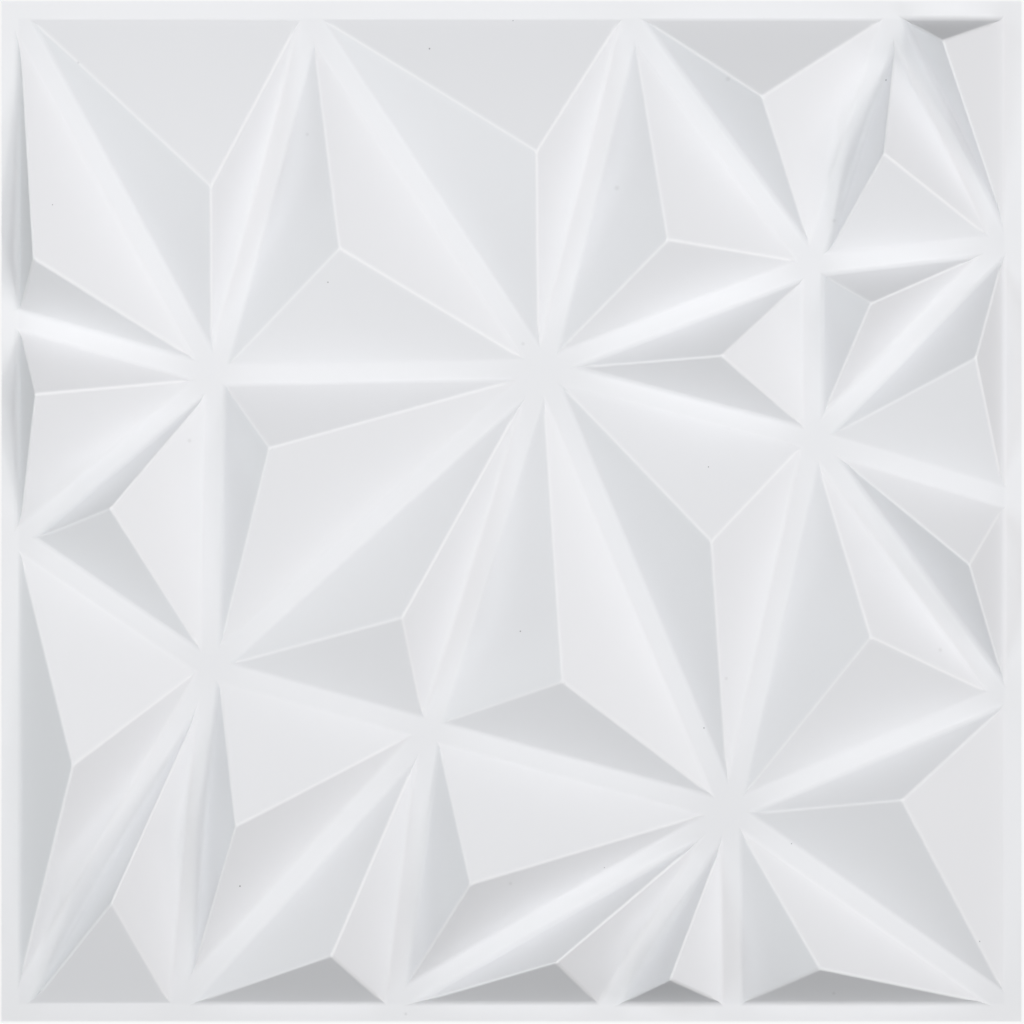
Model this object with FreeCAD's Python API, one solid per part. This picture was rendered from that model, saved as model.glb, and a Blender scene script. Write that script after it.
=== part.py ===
import FreeCAD, Part
import os

# Square wall panel tile, thermoformed from one thin sheet of plastic. Flat valley bands divide
# the face into irregular triangles, and each triangle rises to an off-centre peak. The sheet
# keeps one thickness, so the back is hollow under every peak, and the border and the bands
# share one flat back plane, which is glued to the wall.
# The origin is the middle of the back plane, +Z is the outward face and +Y is the tile's top.

# Driving dimensions, millimetres
PANEL_SIDE = 500.0
BORDER = 9.0
BAND = 10.0
SHEET = 1.0
RELIEF = 25.0
VALLEY_RADIUS = 4.0

# Working values
UP = FreeCAD.Vector(0, 0, 1)
FIELD = PANEL_SIDE / 2 - BORDER
SLAB = 4 * SHEET
NEAR = 1e-4

# Points where the bands meet, as shares of the field's half side: 1 is the border's inner line
MEETINGS = {
    "top_left": (-1, 1),
    "top_a": (-0.409, 1),
    "top_b": (0.243, 1),
    "top_c": (0.776, 1),
    "top_right": (1, 1),
    "left_a": (-1, 0.388),
    "left_b": (-1, -0.056),
    "hub_a": (-0.603, 0.276),
    "hub_b": (0.064, 0.289),
    "hub_c": (0.613, 0.499),
    "hub_d": (0.614, 0.146),
    "hub_e": (-0.613, -0.320),
    "hub_f": (-0.166, -0.444),
    "hub_g": (0.445, -0.610),
    "right_a": (1, 0.543),
    "right_b": (1, 0.029),
    "right_c": (1, -0.376),
    "bottom_left": (-1, -1),
    "bottom_a": (-0.675, -1),
    "bottom_b": (-0.237, -1),
    "bottom_c": (0.200, -1),
    "bottom_d": (0.448, -1),
    "bottom_right": (1, -1),
}

# Peaks: the three meeting points around each, and its share of the first two base corners
PEAKS = [
    ("top_left", "top_a", "hub_a", 0.149, 0.333),
    ("top_left", "hub_a", "left_a", 0.203, 0.101),
    ("left_a", "hub_a", "left_b", 0.585, 0.114),
    ("hub_a", "hub_e", "left_b", 0.325, 0.141),
    ("left_b", "hub_e", "bottom_left", 0.275, 0.325),
    ("bottom_left", "hub_e", "bottom_a", 0.462, 0.364),
    ("hub_e", "hub_f", "bottom_a", 0.383, 0.162),
    ("bottom_a", "hub_f", "bottom_b", 0.303, 0.211),
    ("bottom_b", "hub_f", "hub_g", 0.517, 0.301),
    ("bottom_b", "hub_g", "bottom_c", 0.385, 0.276),
    ("bottom_c", "hub_g", "bottom_d", 0.532, 0.178),
    ("bottom_d", "hub_g", "bottom_right", 0.465, 0.223),
    ("bottom_right", "hub_g", "right_c", 0.162, 0.416),
    ("right_c", "hub_g", "hub_d", 0.399, 0.246),
    ("right_b", "right_c", "hub_d", 0.369, 0.398),
    ("right_a", "right_b", "hub_d", 0.518, 0.298),
    ("right_a", "hub_d", "hub_c", 0.291, 0.251),
    ("top_c", "right_a", "hub_c", 0.458, 0.135),
    ("top_c", "top_right", "right_a", 0.659, 0.214),
    ("top_b", "top_c", "hub_c", 0.403, 0.236),
    ("top_b", "hub_c", "hub_b", 0.245, 0.376),
    ("top_a", "top_b", "hub_b", 0.167, 0.416),
    ("top_a", "hub_b", "hub_a", 0.351, 0.280),
    ("hub_a", "hub_b", "hub_e", 0.591, 0.164),
    ("hub_b", "hub_f", "hub_e", 0.278, 0.477),
    ("hub_b", "hub_g", "hub_f", 0.213, 0.361),
    ("hub_b", "hub_d", "hub_g", 0.277, 0.386),
    ("hub_b", "hub_c", "hub_d", 0.368, 0.325),
]


def meet(first, second, third):
    """Point shared by three planes, each given as a normal and its reach along that normal."""
    crossing = second[0].cross(third[0]) * first[1]
    crossing += third[0].cross(first[0]) * second[1]
    crossing += first[0].cross(second[0]) * third[1]
    return crossing * (1 / first[0].dot(second[0].cross(third[0])))


def base_sides(names):
    """Upright planes on the three sides of a base: on the border's line, or half a band inside."""
    points = [FreeCAD.Vector(*MEETINGS[name], 0) for name in names]
    centre = (points[0] + points[1] + points[2]) * (1 / 3)
    sides = []
    for index, start in enumerate(points):
        end = points[index - 2]
        outward = (end - start).cross(UP).normalize()
        if outward.dot(centre - start) > 0:
            outward = outward * -1
        along_border = max(abs(outward.x), abs(outward.y)) > 1 - NEAR and abs(outward.dot(start)) > 1 - NEAR
        reach = outward.dot(start) * FIELD
        sides.append((outward, reach if along_border else reach - BAND / 2))
    return sides


def facet_planes(names, first_share, second_share):
    """Planes of the three facets that climb from a base to its peak, on the front of the sheet."""
    sides = base_sides(names)
    front = (UP, SHEET)
    corners = [meet(sides[index - 1], sides[index], front) for index in range(3)]
    third_share = 1 - first_share - second_share
    foot = corners[0] * first_share + corners[1] * second_share + corners[2] * third_share
    planes = []
    for outward, reach in sides:
        normal = (outward * RELIEF + UP * (reach - outward.dot(foot))).normalize()
        planes.append((normal, normal.dot(foot + UP * RELIEF)))
    return planes


def pyramid(facets, floor):
    """Closed three-sided pyramid under three facet planes, from the given floor plane up."""
    peak = meet(*facets)
    corners = [meet(facets[index - 1], facets[index], floor) for index in range(3)]
    loops = [[corners[index - 1], corners[index], peak] for index in range(3)] + [corners]
    faces = [Part.Face(Part.makePolygon(loop + loop[:1])) for loop in loops]
    return Part.makeSolid(Part.makeShell(faces))


def slab(bottom, top):
    """Square block of the panel's outline between two heights."""
    corner = FreeCAD.Vector(-PANEL_SIDE / 2, -PANEL_SIDE / 2, bottom)
    return Part.makeBox(PANEL_SIDE, PANEL_SIDE, top - bottom, corner)


def round_valleys(solid, level, radius):
    """Rounds the concave lines where the facets leave the flat face at the given level."""
    inside = FIELD + NEAR
    valleys = []
    for edge in solid.Edges:
        box = edge.BoundBox
        flat = abs(box.ZMin - level) < NEAR and abs(box.ZMax - level) < NEAR
        if flat and box.XMin > -inside and box.XMax < inside and box.YMin > -inside and box.YMax < inside:
            valleys.append(edge)
    return solid.makeFillet(radius, valleys)


def wall_panel():
    """The formed sheet: the rounded front form less the same form set one sheet thickness in."""
    front_facets = [facet_planes(peak[:3], *peak[3:]) for peak in PEAKS]
    front_forms = [pyramid(facets, (UP, SHEET / 2)) for facets in front_facets]
    front = slab(0, SHEET).fuse(front_forms)
    front = round_valleys(front, SHEET, VALLEY_RADIUS)

    back_forms = []
    for facets in front_facets:
        set_in = [(normal, reach - SHEET) for normal, reach in facets]
        back_forms.append(pyramid(set_in, (UP, -SLAB / 2)))
    back = slab(-SLAB, 0).fuse(back_forms)
    back = round_valleys(back, 0, VALLEY_RADIUS + SHEET)
    return front.cut(back)


os.makedirs("parts", exist_ok=True)
wall_panel().exportStep("parts/wall_panel.step")
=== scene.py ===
"""Dresses the wall panel tile and sets it under soft studio light, seen straight from above."""

import logging
import math
from dataclasses import dataclass, field
from enum import Enum
from typing import Any, Union

import bpy
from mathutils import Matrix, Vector


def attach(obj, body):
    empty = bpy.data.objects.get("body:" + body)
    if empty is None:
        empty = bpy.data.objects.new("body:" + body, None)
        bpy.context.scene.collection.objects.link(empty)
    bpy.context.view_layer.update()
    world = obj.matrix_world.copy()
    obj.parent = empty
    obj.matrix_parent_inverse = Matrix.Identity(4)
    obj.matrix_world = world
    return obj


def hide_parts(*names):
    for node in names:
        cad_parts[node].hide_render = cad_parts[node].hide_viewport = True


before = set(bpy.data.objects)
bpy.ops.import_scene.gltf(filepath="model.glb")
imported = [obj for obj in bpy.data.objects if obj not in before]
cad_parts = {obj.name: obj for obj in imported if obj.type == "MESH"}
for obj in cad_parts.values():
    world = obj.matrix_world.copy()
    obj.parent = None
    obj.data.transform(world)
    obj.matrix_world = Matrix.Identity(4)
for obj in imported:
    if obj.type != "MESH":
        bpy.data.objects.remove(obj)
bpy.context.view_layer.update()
MM = 0.001

log = logging.getLogger("wall_panel_tile")

Colour = tuple[float, float, float]
OpaqueColour = tuple[float, float, float, float]
Operand = Union["Value", float]
MeshFace = bpy.types.MeshPolygon

WHITE: Colour = (1.0, 1.0, 1.0)
# The point attribute that marks the ridge lines, where a highlight is painted into the sheet's
# colour
PAINTED_RIDGE_HIGHLIGHT = "painted_ridge_highlight"
# Stands for the height of a point that isn't on a ridge line
OFF_LINE = -1.0
# The level that a noise texture varies about
NOISE_MIDDLE = 0.5
# A Mix node has a set of sockets for each type of data, and these are the colour ones
MIX_FIRST = 6
MIX_SECOND = 7
MIX_RESULT = 2


class MathOp(Enum):
    """The Math node operations that shader expressions use."""

    ADD = "ADD"
    SUBTRACT = "SUBTRACT"
    MULTIPLY = "MULTIPLY"
    LESS_THAN = "LESS_THAN"
    GREATER_THAN = "GREATER_THAN"
    ABSOLUTE = "ABSOLUTE"
    MAXIMUM = "MAXIMUM"


class Value:
    """A shader socket whose arithmetic adds Math nodes to its graph."""

    def __init__(self, graph: "Graph", socket: bpy.types.NodeSocket) -> None:
        """Keeps a socket with the graph it belongs to.

        Args:
            graph: The graph that new nodes go into.
            socket: The output socket that this value stands for.
        """
        self.graph = graph
        self.socket = socket

    def _math(self, operation: MathOp, first: Operand, second: Operand = 0.0) -> "Value":
        """Adds one Math node.

        Args:
            operation: What the node does.
            first: The left operand.
            second: The right operand, for an operation that has one.

        Returns:
            The node's result.
        """
        settings = {"operation": operation.value}
        return self.graph.node("ShaderNodeMath", settings, {0: first, 1: second})["Value"]

    def __add__(self, other: Operand) -> "Value":
        """Sum of two values."""
        return self._math(MathOp.ADD, self, other)

    def __radd__(self, other: Operand) -> "Value":
        """Sum with a number on the left."""
        return self._math(MathOp.ADD, other, self)

    def __sub__(self, other: Operand) -> "Value":
        """Difference of two values."""
        return self._math(MathOp.SUBTRACT, self, other)

    def __rsub__(self, other: Operand) -> "Value":
        """Difference from a number on the left."""
        return self._math(MathOp.SUBTRACT, other, self)

    def __mul__(self, other: Operand) -> "Value":
        """Product of two values."""
        return self._math(MathOp.MULTIPLY, self, other)

    def __rmul__(self, other: Operand) -> "Value":
        """Product with a number on the left."""
        return self._math(MathOp.MULTIPLY, other, self)

    def __lt__(self, other: Operand) -> "Value":
        """One where this value is less than the other."""
        return self._math(MathOp.LESS_THAN, self, other)

    def __gt__(self, other: Operand) -> "Value":
        """One where this value is greater than the other, or a number on the left is less."""
        return self._math(MathOp.GREATER_THAN, self, other)

    def __abs__(self) -> "Value":
        """This value without its sign."""
        return self._math(MathOp.ABSOLUTE, self)

    def or_more(self, other: Operand) -> "Value":
        """The greater of two values."""
        return self._math(MathOp.MAXIMUM, self, other)


class NodeOutputs:
    """The outputs of one node, by name."""

    def __init__(self, graph: "Graph", node: bpy.types.Node) -> None:
        """Keeps a node with the graph it belongs to.

        Args:
            graph: The graph that the node is in.
            node: The node whose outputs are read.
        """
        self.graph = graph
        self.node = node

    def __getitem__(self, name: Union[str, int]) -> Value:
        """The output with the given name or place, as a value."""
        return Value(self.graph, self.node.outputs[name])


class Graph:
    """The node tree of a material or a world, emptied and ready to be filled."""

    def __init__(self, owner: Union[bpy.types.Material, bpy.types.World]) -> None:
        """Empties the owner's node tree.

        Args:
            owner: The material or world that the nodes belong to.
        """
        owner.use_nodes = True
        self.tree = owner.node_tree
        self.tree.nodes.clear()

    def node(
        self, kind: str, settings: dict[str, Any], inputs: dict[Union[str, int], Any]
    ) -> NodeOutputs:
        """Adds a node.

        Args:
            kind: The node's Blender type name.
            settings: The node's own properties, set before its sockets.
            inputs: The number, colour or value for each input socket.

        Returns:
            The new node's outputs.
        """
        made = self.tree.nodes.new(kind)
        for name, setting in settings.items():
            setattr(made, name, setting)
        for name, entry in inputs.items():
            if isinstance(entry, Value):
                self.tree.links.new(entry.socket, made.inputs[name])
            else:
                made.inputs[name].default_value = entry
        return NodeOutputs(self, made)

    def blend(
        self,
        factor: Operand,
        first: Union[Value, OpaqueColour],
        second: Union[Value, OpaqueColour],
    ) -> Value:
        """Adds a colour Mix node.

        Args:
            factor: Zero for the first colour, one for the second.
            first: A colour or a value.
            second: A colour or a value.

        Returns:
            The mixed colour.
        """
        inputs = {"Factor": factor, MIX_FIRST: first, MIX_SECOND: second}
        return self.node("ShaderNodeMix", {"data_type": "RGBA"}, inputs)[MIX_RESULT]

    def smooth_step(self, inputs: dict[str, Operand]) -> Value:
        """Adds a Map Range node that eases in and out.

        Args:
            inputs: The number or value for each of its sockets.

        Returns:
            The eased result.
        """
        settings = {"interpolation_type": "SMOOTHSTEP"}
        return self.node("ShaderNodeMapRange", settings, inputs)["Result"]

    def seen(self) -> Value:
        """Adds the nodes that tell what shows in the picture from what only lights it.

        Returns:
            One for what is seen straight, in a reflection or through a clear piece, else zero.
        """
        path = self.node("ShaderNodeLightPath", {}, {})
        return path["Is Camera Ray"] + path["Is Glossy Ray"] + path["Is Transmission Ray"]


def opaque(colour: Colour) -> OpaqueColour:
    """The colour with full alpha."""
    return (*colour, 1.0)


def select_nothing() -> None:
    """Deselects every object and leaves none active."""
    bpy.ops.object.select_all(action="DESELECT")
    bpy.context.view_layer.objects.active = None


class MeshPart(Enum):
    """The parts of a mesh that edit mode can select."""

    POINT = "VERT"
    EDGE = "EDGE"
    FACE = "FACE"

    def of(self, mesh: bpy.types.Mesh) -> bpy.types.bpy_prop_collection:
        """All the mesh's parts of this kind."""
        parts = {MeshPart.POINT: mesh.vertices, MeshPart.EDGE: mesh.edges}
        return parts.get(self, mesh.polygons)


def edit_only(mesh: bpy.types.Mesh, part: MeshPart, chosen: list[int]) -> None:
    """Opens the active object in edit mode with only some parts of its mesh selected.

    Args:
        mesh: The mesh of the active object, in object mode.
        part: The kind of part.
        chosen: The indices of the parts.
    """
    bpy.ops.object.mode_set(mode="EDIT")
    bpy.ops.mesh.select_mode(type=part.value)
    bpy.ops.mesh.select_all(action="DESELECT")
    bpy.ops.object.mode_set(mode="OBJECT")
    parts = part.of(mesh)
    for index in chosen:
        parts[index].select = True
    bpy.ops.object.mode_set(mode="EDIT")


@dataclass(frozen=True)
class Marks:
    """Small stray marks, at most one to a cell of a grid over the face.

    Attributes:
        cells_per_metre: How fine the grid is.
        share: The part of the cells that hold a mark.
        least_radius: The smallest mark.
        most_radius: The largest mark.
        softness: How much of a mark's radius its edge takes.
        shift: Moves the grid, so that two kinds of marks don't fall together.
    """

    cells_per_metre: float
    share: float
    least_radius: float
    most_radius: float
    softness: float
    shift: tuple[float, float, float] = (0.0, 0.0, 0.0)

    def cover(self, graph: Graph, place: Value) -> Value:
        """Adds the nodes that find the marks.

        Args:
            graph: The graph of the finish.
            place: Where on the piece the finish is looked up.

        Returns:
            One at the middle of a mark, falling to zero at its edge and beyond.
        """
        inputs = {"Vector": place, "Location": self.shift}
        moved = graph.node("ShaderNodeMapping", {}, inputs)["Vector"]
        cells = graph.node(
            "ShaderNodeTexVoronoi",
            {"voronoi_dimensions": "2D"},
            {"Vector": moved, "Scale": self.cells_per_metre},
        )
        chances = graph.node("ShaderNodeSeparateColor", {}, {"Color": cells["Color"]})
        spread = self.most_radius - self.least_radius
        radius = (self.least_radius + chances["Green"] * spread) * self.cells_per_metre
        spot = graph.smooth_step(
            {
                "Value": cells["Distance"],
                "From Min": radius * (1.0 - self.softness),
                "From Max": radius,
                "To Min": 1.0,
                "To Max": 0.0,
            }
        )
        return spot * (chances["Red"] < self.share)


@dataclass(frozen=True)
class MattePlastic:
    """White sheet plastic: matte, faintly uneven, with a few dust specks and faint smudges.

    The flat border and the ridges are painted a little paler than the rest: a painted lighter tone
    on the border and a painted highlight along the ridges.

    Attributes:
        border_from: How far from the tile's middle lines the painted lighter tone of the border
            starts.
        border_whole: How far from them it is whole.
        roughness_spread: How much the clouds change the roughness.
        clouds_per_metre: The scale of the clouding.
        grain_per_metre: The scale of the fine grain of the surface.
    """

    name: str = "white_sheet_plastic"
    colour: Colour = (0.89, 0.897, 0.915)
    cloud_colour: Colour = (0.88, 0.887, 0.905)
    speck_colour: Colour = (0.4, 0.4, 0.42)
    smudge_colour: Colour = (0.8, 0.805, 0.82)
    # Painted highlight along the ridge lines
    painted_ridge_highlight_colour: Colour = (0.965, 0.97, 0.982)
    # Painted light: a lighter tone on the flat border
    painted_border_light_colour: Colour = (0.912, 0.919, 0.935)
    border_from: float = 240.5 * MM
    border_whole: float = 242.5 * MM
    roughness: float = 0.6
    roughness_spread: float = 0.08
    ior: float = 1.5
    specular_level: float = 0.5
    clouds_per_metre: float = 12.0
    clouds_detail: float = 3.0
    grain_per_metre: float = 900.0
    grain_detail: float = 2.0
    grain_strength: float = 0.03
    grain_depth: float = 0.02 * MM
    specks: Marks = Marks(
        cells_per_metre=22.0,
        share=0.14,
        least_radius=0.25 * MM,
        most_radius=0.5 * MM,
        softness=0.4,
    )
    smudges: Marks = Marks(
        cells_per_metre=19.0,
        share=0.16,
        least_radius=0.9 * MM,
        most_radius=1.8 * MM,
        softness=0.9,
        shift=(0.37, 0.21, 0.0),
    )

    def material(self) -> bpy.types.Material:
        """Builds the finish.

        Returns:
            The procedural material.
        """
        made = bpy.data.materials.new(self.name)
        graph = Graph(made)
        place = graph.node("ShaderNodeTexCoord", {}, {})["Object"]
        clouds = self.noise(graph, place, self.clouds_per_metre, self.clouds_detail)
        grain = self.noise(graph, place, self.grain_per_metre, self.grain_detail)
        bump = graph.node(
            "ShaderNodeBump",
            {},
            {"Strength": self.grain_strength, "Distance": self.grain_depth, "Height": grain},
        )["Normal"]
        shader = graph.node(
            "ShaderNodeBsdfPrincipled",
            {},
            {
                "Base Color": self.tint(graph, place, clouds),
                "Roughness": self.roughness + (clouds - NOISE_MIDDLE) * self.roughness_spread,
                "Normal": bump,
                "IOR": self.ior,
                "Specular IOR Level": self.specular_level,
            },
        )["BSDF"]
        graph.node("ShaderNodeOutputMaterial", {}, {"Surface": shader})
        return made

    @staticmethod
    def noise(graph: Graph, place: Value, scale: float, detail: float) -> Value:
        """Adds a noise texture.

        Args:
            graph: The graph of the finish.
            place: Where on the piece the finish is looked up.
            scale: How many waves it has to a metre.
            detail: How many finer waves lie over them.

        Returns:
            The noise, about its middle level.
        """
        inputs = {"Vector": place, "Scale": scale, "Detail": detail}
        return graph.node("ShaderNodeTexNoise", {}, inputs)["Fac"]

    def tint(self, graph: Graph, place: Value, clouds: Value) -> Value:
        """Adds the nodes that lay the colours over each other, painted light on the border and the
        ridges among them.

        Args:
            graph: The graph of the finish.
            place: Where on the piece the finish is looked up.
            clouds: The clouding of the sheet.

        Returns:
            The sheet's colour, with a painted lighter border and painted ridge highlights.
        """
        painted_ridge_highlight = graph.node("ShaderNodeAttribute", {"attribute_name": PAINTED_RIDGE_HIGHLIGHT}, {})["Fac"]
        layers = (
            # Painted light: a lighter tone on the flat border
            (self.painted_light_border(graph, place), self.painted_border_light_colour),
            # Painted highlight along the ridge lines
            (painted_ridge_highlight * painted_ridge_highlight, self.painted_ridge_highlight_colour),
            (self.smudges.cover(graph, place), self.smudge_colour),
            (self.specks.cover(graph, place), self.speck_colour),
        )
        tint = graph.blend(clouds, opaque(self.colour), opaque(self.cloud_colour))
        for cover, colour in layers:
            tint = graph.blend(cover, tint, opaque(colour))
        return tint

    def painted_light_border(self, graph: Graph, place: Value) -> Value:
        """Adds the nodes that find the flat border of the tile, where a lighter tone is painted.

        Args:
            graph: The graph of the finish.
            place: Where on the piece the finish is looked up.

        Returns:
            One on the border, falling to zero at the foot of the relief.
        """
        sides = graph.node("ShaderNodeSeparateXYZ", {}, {"Vector": place})
        return graph.smooth_step(
            {
                "Value": abs(sides["X"]).or_more(abs(sides["Y"])),
                "From Min": self.border_from,
                "From Max": self.border_whole,
            }
        )


@dataclass(frozen=True)
class Ridge:
    """A straight fold of the sheet's face, from a peak to the rounded foot of its facets."""

    top: Vector
    foot: Vector
    normals: tuple[Vector, Vector]

    def along(self) -> Vector:
        """The direction from the foot up to the peak."""
        return (self.top - self.foot).normalized()

    def inward(self, normal: Vector) -> Vector:
        """The direction away from the ridge in the facet with the given normal.

        Args:
            normal: The facet's normal, one of the ridge's two.

        Returns:
            A unit direction in the facet, square to the ridge.
        """
        other = self.normals[1] if normal == self.normals[0] else self.normals[0]
        direction = normal.cross(self.along())
        return -direction if direction.dot(other) > 0 else direction

    def drop(self, reach: float) -> Vector:
        """How far a rounding lowers the ridge line.

        An arc that touches both facets turns by half the fold on each side of its middle, so the
        line from its edge to its middle leaves the facet by a quarter of the fold.

        Args:
            reach: How far the rounding reaches over each facet.

        Returns:
            The move from the sharp line to the middle of the round.
        """
        quarter_fold = self.normals[0].angle(self.normals[1]) / 4
        upward = (self.normals[0] + self.normals[1]).normalized()
        return -upward * reach * math.tan(quarter_fold)

    def height_of(self, point: Vector, gap: float) -> float:
        """Where a point lies on the ridge line.

        Args:
            point: The point.
            gap: How far off the line still counts as on it.

        Returns:
            Metres along the line above the foot, or OFF_LINE.
        """
        way = point - self.foot
        height = way.dot(self.along())
        aside = (way - self.along() * height).length > gap
        beyond = height > (self.top - self.foot).length + gap
        return OFF_LINE if aside or beyond else height


@dataclass
class FormedSheet:
    """The thermoformed sheet, with its ridges rounded as heat-drawn plastic rounds them.

    Attributes:
        merge_distance: Points nearer to each other than this are one.
        front_tilt: The least upward part of a normal on the front face.
        flat_angle: Faces that differ by less lie in one plane.
        plane_gap: How far off a plane or a line still counts as on it.
        ridge_angle: The least fold of a ridge.
        ridge_least_rise: The least height of a peak over its ridge's foot.
        ridge_round: How far the rounding of a ridge reaches over each facet.
        ridge_fade: The least way up from a ridge's foot to where its rounding is whole.
        fade_margin: The least way to there from where the strips beside the ridge start.
        sharp_angle: Folds above this stay sharp in the shading, unless they are rounded.
    """

    node: str = "wall_panel"
    name: str = "formed_sheet"
    finish: MattePlastic = field(default_factory=MattePlastic)
    merge_distance: float = 0.01 * MM
    front_tilt: float = 0.05
    flat_angle: float = math.radians(0.3)
    plane_gap: float = 0.02 * MM
    ridge_angle: float = math.radians(6.0)
    ridge_least_rise: float = 10.0 * MM
    ridge_round: float = 1.6 * MM
    ridge_fade: float = 5.0 * MM
    fade_margin: float = 2.5 * MM
    sharp_angle: float = math.radians(35.0)

    def build(self) -> bpy.types.Object:
        """Makes the sheet from a copy of the CAD node and rounds the ridges of its face.

        Returns:
            The finished piece, which stands for the CAD node.
        """
        piece = self.merged_copy()
        mesh = piece.data
        ridges = self.ridges(mesh)
        fades = [self.cut_strips(mesh, ridge) for ridge in ridges]
        bpy.ops.object.shade_smooth_by_angle(angle=self.sharp_angle)
        points = [self.ridge_points(mesh, ridge) for ridge in ridges]
        self.mark_folds(mesh, points, fades)
        self.lower_ridges(mesh, ridges, points, fades)
        weighted = piece.modifiers.new("facet_normals", "WEIGHTED_NORMAL")
        weighted.keep_sharp = True
        bpy.ops.object.modifier_apply(modifier=weighted.name)
        log.info("%s: %d ridges rounded, %d faces", self.name, len(ridges), len(mesh.polygons))
        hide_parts(self.node)
        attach(piece, "root")
        return piece

    def merged_copy(self) -> bpy.types.Object:
        """Copies the CAD node into a new piece and joins its loose triangles, plane by plane.

        Returns:
            The piece, selected and active, in object mode.
        """
        select_nothing()
        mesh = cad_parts[self.node].data.copy()
        piece = bpy.data.objects.new(self.name, mesh)
        bpy.context.scene.collection.objects.link(piece)
        piece.select_set(True)
        bpy.context.view_layer.objects.active = piece
        bpy.ops.object.mode_set(mode="EDIT")
        bpy.ops.mesh.select_all(action="SELECT")
        bpy.ops.mesh.remove_doubles(threshold=self.merge_distance)
        bpy.ops.mesh.customdata_custom_splitnormals_clear()
        bpy.ops.mesh.dissolve_limited(angle_limit=self.flat_angle)
        bpy.ops.object.mode_set(mode="OBJECT")
        return piece

    def folds(self, mesh: bpy.types.Mesh) -> dict[int, tuple[MeshFace, MeshFace]]:
        """Finds the outward folds of the front face.

        Args:
            mesh: The sheet's mesh.

        Returns:
            The two faces beside each folded edge, by the edge's index.
        """
        sides: dict[tuple[int, int], list[MeshFace]] = {}
        for face in mesh.polygons:
            for key in face.edge_keys:
                sides.setdefault(key, []).append(face)
        found = {}
        for edge in mesh.edges:
            first, second = sides[edge.key]
            folded = first.normal.angle(second.normal) > self.ridge_angle
            on_front = min(first.normal.z, second.normal.z) > self.front_tilt
            if folded and on_front and first.normal.dot(second.center - first.center) < 0:
                found[edge.index] = (first, second)
        return found

    def ridges(self, mesh: bpy.types.Mesh) -> list[Ridge]:
        """Lists the long folds of the front face.

        Args:
            mesh: The sheet's mesh, before its ridges are cut.

        Returns:
            The ridges, each from its peak to its foot.
        """
        found = []
        for index, (first, second) in self.folds(mesh).items():
            ends = (mesh.vertices[corner].co.copy() for corner in mesh.edges[index].vertices)
            foot, top = sorted(ends, key=lambda point: point.z)
            if top.z - foot.z > self.ridge_least_rise:
                found.append(Ridge(top, foot, (first.normal.copy(), second.normal.copy())))
        return found

    def cut_strips(self, mesh: bpy.types.Mesh, ridge: Ridge) -> float:
        """Cuts a narrow strip off both facets of a ridge, and cuts the strips across near its foot.

        Args:
            mesh: The mesh of the active object, in object mode.
            ridge: The ridge.

        Returns:
            How far above the foot the cut across lies, clear of where the facets are narrow.
        """
        fade = self.ridge_fade
        for normal in ridge.normals:
            inward = ridge.inward(normal)
            edge = ridge.foot + inward * self.ridge_round
            self.bisect(mesh, self.facet(mesh, ridge, normal), edge, inward)
            faces = self.facet(mesh, ridge, normal)
            corners = {corner for face in faces for corner in face.vertices}
            ways = [mesh.vertices[corner].co - ridge.foot for corner in corners]
            starts = [
                way.dot(ridge.along())
                for way in ways
                if abs(inward.dot(way) - self.ridge_round) < self.plane_gap
            ]
            fade = max(fade, self.fade_margin + min(starts))
        strips = [
            face
            for normal in ridge.normals
            for face in self.facet(mesh, ridge, normal)
            if ridge.inward(normal).dot(face.center - ridge.foot) < self.ridge_round
        ]
        self.bisect(mesh, strips, ridge.foot + ridge.along() * fade, ridge.along())
        return fade

    def facet(self, mesh: bpy.types.Mesh, ridge: Ridge, normal: Vector) -> list[MeshFace]:
        """Lists the faces that lie in one facet's plane.

        Args:
            mesh: The sheet's mesh.
            ridge: A ridge of the facet.
            normal: The facet's normal.

        Returns:
            The facet's faces.
        """
        return [
            face
            for face in mesh.polygons
            if normal.angle(face.normal, math.pi) < self.flat_angle
            and abs(normal.dot(face.center - ridge.foot)) < self.plane_gap
        ]

    @staticmethod
    def bisect(mesh: bpy.types.Mesh, faces: list[MeshFace], point: Vector, normal: Vector) -> None:
        """Cuts some faces along a plane.

        Args:
            mesh: The mesh of the active object, in object mode.
            faces: The faces to cut.
            point: A point of the plane.
            normal: The plane's normal.
        """
        edit_only(mesh, MeshPart.FACE, [face.index for face in faces])
        bpy.ops.mesh.bisect(plane_co=point, plane_no=normal)
        bpy.ops.object.mode_set(mode="OBJECT")

    def ridge_points(self, mesh: bpy.types.Mesh, ridge: Ridge) -> dict[int, float]:
        """Finds the points of a ridge line.

        Args:
            mesh: The sheet's mesh, with its strips cut.
            ridge: The ridge.

        Returns:
            Each point's height above the ridge's foot, by the point's index.
        """
        gap = self.plane_gap
        heights = {point.index: ridge.height_of(point.co, gap) for point in mesh.vertices}
        return {index: height for index, height in heights.items() if height > -gap}

    def mark_folds(
        self, mesh: bpy.types.Mesh, points: list[dict[int, float]], fades: list[float]
    ) -> None:
        """Shades smoothly over the rounded ridges and keeps the other outward folds sharp.

        Args:
            mesh: The mesh of the active object, in object mode.
            points: The points of each ridge line.
            fades: How far above each ridge's foot its rounding is whole.
        """
        rounded = {
            index
            for heights, fade in zip(points, fades)
            for index, height in heights.items()
            if height > fade - self.plane_gap
        }
        folds = list(self.folds(mesh))
        soft = [index for index in folds if rounded.issuperset(mesh.edges[index].vertices)]
        for chosen, smooth in ((folds, False), (soft, True)):
            edit_only(mesh, MeshPart.EDGE, chosen)
            bpy.ops.mesh.mark_sharp(clear=smooth)
            bpy.ops.object.mode_set(mode="OBJECT")

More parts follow.
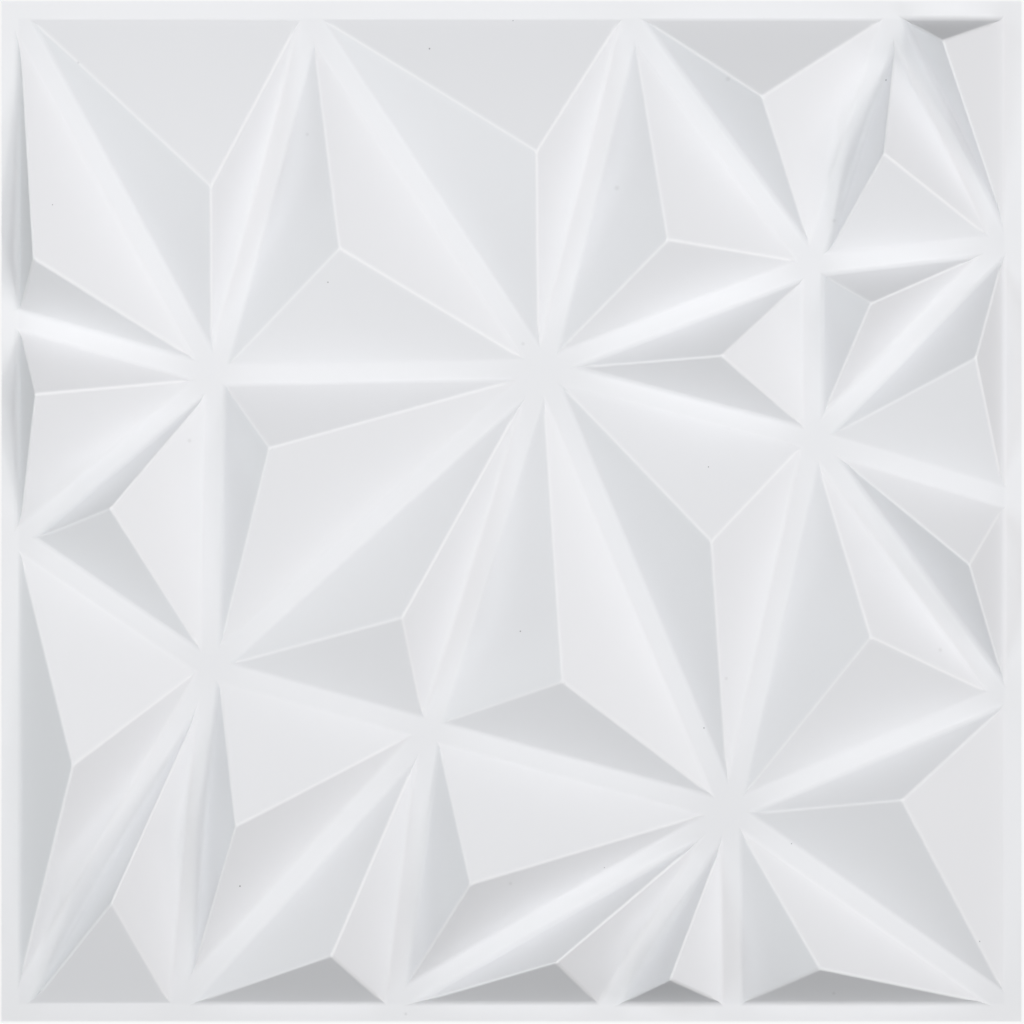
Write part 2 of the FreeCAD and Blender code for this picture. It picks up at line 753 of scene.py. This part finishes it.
    def lower_ridges(
        self,
        mesh: bpy.types.Mesh,
        ridges: list[Ridge],
        points: list[dict[int, float]],
        fades: list[float],
    ) -> None:
        """Lowers the ridge lines to the middle of their rounding, fading to nothing at the foot.

        The ridge lines are also marked for a painted highlight, which makes the finish a little
        paler there.

        Args:
            mesh: The mesh of the active object, in object mode.
            ridges: The ridges, as they were before the cuts.
            points: The points of each ridge line.
            fades: How far above each ridge's foot the lowering is whole.
        """
        # Marks the ridge lines, where the finish paints a highlight
        painted_ridge_highlight = [0.0] * len(mesh.vertices)
        moves: dict[int, list[Vector]] = {}
        for ridge, heights, fade in zip(ridges, points, fades):
            for index, height in heights.items():
                painted_ridge_highlight[index] = 1.0
                if height > fade - self.plane_gap:
                    moves.setdefault(index, []).append(ridge.drop(self.ridge_round))
        mesh.attributes.new(PAINTED_RIDGE_HIGHLIGHT, "FLOAT", "POINT").data.foreach_set("value", painted_ridge_highlight)
        for index, drops in moves.items():
            edit_only(mesh, MeshPart.POINT, [index])
            bpy.ops.transform.translate(value=sum(drops, Vector()) / len(drops))
            bpy.ops.object.mode_set(mode="OBJECT")

    def dress(self, piece: bpy.types.Object) -> None:
        """Gives the sheet its finish.

        Args:
            piece: The sheet.
        """
        piece.data.materials.clear()
        piece.data.materials.append(self.finish.material())


class Stand(Enum):
    """How far a lamp stands from the middle of the tile and how wide it is, in metres."""

    FAR = (3.0, 0.4)
    MIDDLE = (2.5, 0.7)
    NEAR = (1.1, 0.3)

    @property
    def distance(self) -> float:
        """From the middle of the tile to the lamp."""
        return self.value[0]

    @property
    def width(self) -> float:
        """Across the lamp's round face."""
        return self.value[1]


@dataclass(frozen=True)
class SoftBox:
    """A round soft lamp aimed at the middle of the tile.

    Attributes:
        bearing: Where it stands round the tile, in degrees from +X towards +Y.
        height: How high it stands over the floor, in degrees.
        watts: Its power.
        stand: Its distance and width.
    """

    name: str
    bearing: float
    height: float
    watts: float
    stand: Stand
    colour: Colour

    def place(self) -> None:
        """Adds the lamp, unseen by the camera."""
        light = bpy.data.lights.new(self.name, "AREA")
        light.shape = "DISK"
        light.size = self.stand.width
        light.energy = self.watts
        light.color = self.colour
        lamp = bpy.data.objects.new(self.name, light)
        turn = math.radians(self.bearing)
        rise = math.radians(self.height)
        across = math.cos(rise)
        direction = Vector((across * math.cos(turn), across * math.sin(turn), math.sin(rise)))
        lamp.location = direction * self.stand.distance
        lamp.rotation_euler = direction.to_track_quat("Z", "Y").to_euler()
        lamp.visible_camera = False
        bpy.context.scene.collection.objects.link(lamp)


@dataclass
class Studio:
    """Pale floor, soft lamps all round and a camera straight above the tile.

    Attributes:
        floor_gap: How far the floor lies under the tile, so that their faces don't meet.
        floor_white: How much of the floor, as it is seen, is plain white. The rest takes shadow.
        bounce_colour: The floor's colour for the light that it sends back to the tile.
        view_side: The side of the square that the camera sees at the floor.
        view_centre: The middle of that square.
    """

    floor_side: float = 8.0
    floor_gap: float = 0.2 * MM
    floor_colour: Colour = (0.9, 0.9, 0.9)
    floor_white: float = 0.85
    bounce_colour: Colour = (0.12, 0.12, 0.12)
    camera_distance: float = 2.5
    view_side: float = 502.2 * MM
    view_centre: tuple[float, float] = (0.25 * MM, -0.37 * MM)
    sensor: float = 36.0
    lamps: tuple[SoftBox, ...] = (
        SoftBox("right_key_high", 12, 62, 15.5, Stand.FAR, (0.96, 0.98, 0.99)),
        SoftBox("right_key", 12, 50, 14.7, Stand.FAR, (0.995, 0.99, 0.96)),
        SoftBox("right_key_low", 12, 38, 10.4, Stand.FAR, (0.98, 0.94, 0.96)),
        SoftBox("lower_right_key", -36, 50, 8.4, Stand.FAR, (0.99, 0.985, 0.95)),
        SoftBox("lower_right_key_low", -36, 38, 5.5, Stand.FAR, (0.93, 0.93, 1.0)),
        SoftBox("right_fill", 0, 24, 4.7, Stand.MIDDLE, (1.0, 0.96, 0.98)),
        SoftBox("upper_near", 110, 60, 1.88, Stand.NEAR, (0.88, 0.93, 1.0)),
        SoftBox("left_near", 160, 60, 1.58, Stand.NEAR, (1.0, 0.89, 0.81)),
        SoftBox("left_fill", 180, 32, 9.8, Stand.MIDDLE, (0.92, 0.975, 1.0)),
        SoftBox("lower_left_fill", 205, 32, 7.5, Stand.MIDDLE, (0.89, 0.945, 1.0)),
        SoftBox("left_skim", 180, 6, 4.6, Stand.MIDDLE, (0.93, 1.0, 0.97)),
    )

    def floor(self) -> None:
        """Lays the floor just under the tile, as no part of the object."""
        select_nothing()
        bpy.ops.mesh.primitive_plane_add(size=self.floor_side, location=(0, 0, -self.floor_gap))
        floor = bpy.context.object
        floor.name = "studio_floor"
        floor.data.materials.append(self.floor_finish())

    def floor_finish(self) -> bpy.types.Material:
        """Builds the floor's finish, nearly white to look at, darker for the light it sends back.

        Returns:
            The procedural material.
        """
        made = bpy.data.materials.new("pale_floor")
        graph = Graph(made)
        pale = opaque(self.floor_colour)
        plain = graph.node("ShaderNodeBsdfDiffuse", {}, {"Color": pale})["BSDF"]
        white = graph.node("ShaderNodeEmission", {}, {"Color": opaque(WHITE)})["Emission"]
        shown = graph.node("ShaderNodeMixShader", {}, {"Fac": self.floor_white, 1: plain, 2: white})
        dark = opaque(self.bounce_colour)
        bounced = graph.node("ShaderNodeBsdfDiffuse", {}, {"Color": dark})["BSDF"]
        surface = graph.node(
            "ShaderNodeMixShader", {}, {"Fac": graph.seen(), 1: bounced, 2: shown["Shader"]}
        )
        graph.node("ShaderNodeOutputMaterial", {}, {"Surface": surface["Shader"]})
        return made

    def world(self) -> None:
        """Sets a white surround that is seen, reflections included, and adds no other light."""
        world = bpy.data.worlds.new("white_surround")
        graph = Graph(world)
        inputs = {"Color": opaque(WHITE), "Strength": graph.seen()}
        white = graph.node("ShaderNodeBackground", {}, inputs)["Background"]
        graph.node("ShaderNodeOutputWorld", {}, {"Surface": white})
        bpy.context.scene.world = world

    def camera(self) -> None:
        """Hangs the scene's camera straight above the tile's face."""
        lens = bpy.data.cameras.new("overhead_camera")
        lens.sensor_width = self.sensor
        lens.lens = self.sensor * self.camera_distance / self.view_side
        camera = bpy.data.objects.new("overhead_camera", lens)
        camera.location = (*self.view_centre, self.camera_distance)
        bpy.context.scene.collection.objects.link(camera)
        bpy.context.scene.camera = camera

    def build(self) -> None:
        """Sets up the floor, the surround, the lamps and the camera."""
        bpy.context.scene.view_settings.view_transform = "Standard"
        self.floor()
        self.world()
        for lamp in self.lamps:
            lamp.place()
        self.camera()
        log.info("studio: %d lamps", len(self.lamps))


def main() -> None:
    """Builds and dresses the tile, then sets the studio round it."""
    logging.basicConfig(level=logging.INFO, format="%(name)s: %(message)s")
    sheet = FormedSheet()
    piece = sheet.build()
    sheet.dress(piece)
    Studio().build()


if __name__ == "__main__":
    main()
